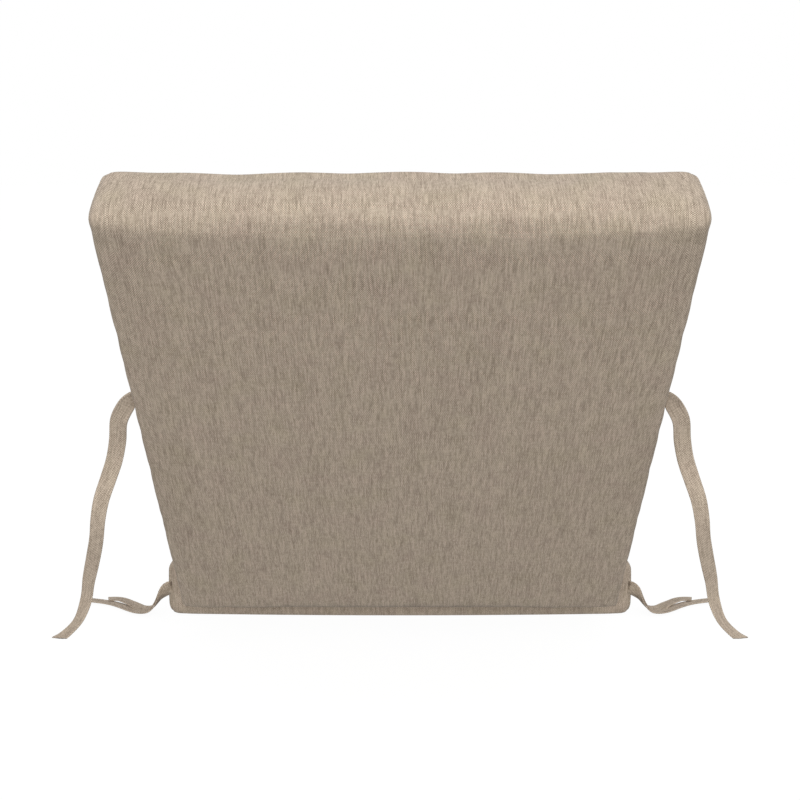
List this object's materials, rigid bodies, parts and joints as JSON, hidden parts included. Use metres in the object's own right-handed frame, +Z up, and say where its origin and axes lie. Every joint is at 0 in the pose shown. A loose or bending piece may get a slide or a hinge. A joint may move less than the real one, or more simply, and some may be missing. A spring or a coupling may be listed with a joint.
{
  "type": "chaise lounge cushion",
  "caption": "Chaise lounge cushion in woven cloth with a flat seat section, a hinged back section raised at rest, and ribbon ties at the back's sides and at the seat's rear corners.",
  "frame": {"origin": "on the floor, at the middle of the box around the whole part", "axes": "+Y runs from the back section to the foot of the seat, along the part's length; +X is to the right when looking along +Y; +Z is up, out of the seat's top face"},
  "size_m": [0.8888, 1.6156, 0.5936],
  "materials": {
    "cover_cloth": "plain woven taupe cloth with light and dark slubs along the length",
    "tie_ribbon": "narrow ribbon of the same cloth, folded edges"
  },
  "bodies": {
    "root": {"cushion": "cover_cloth", "upper_tie_left": "tie_ribbon", "upper_tie_right": "tie_ribbon", "lower_tie_left": "tie_ribbon", "lower_tie_right": "tie_ribbon"}
  },
  "joints": []
}
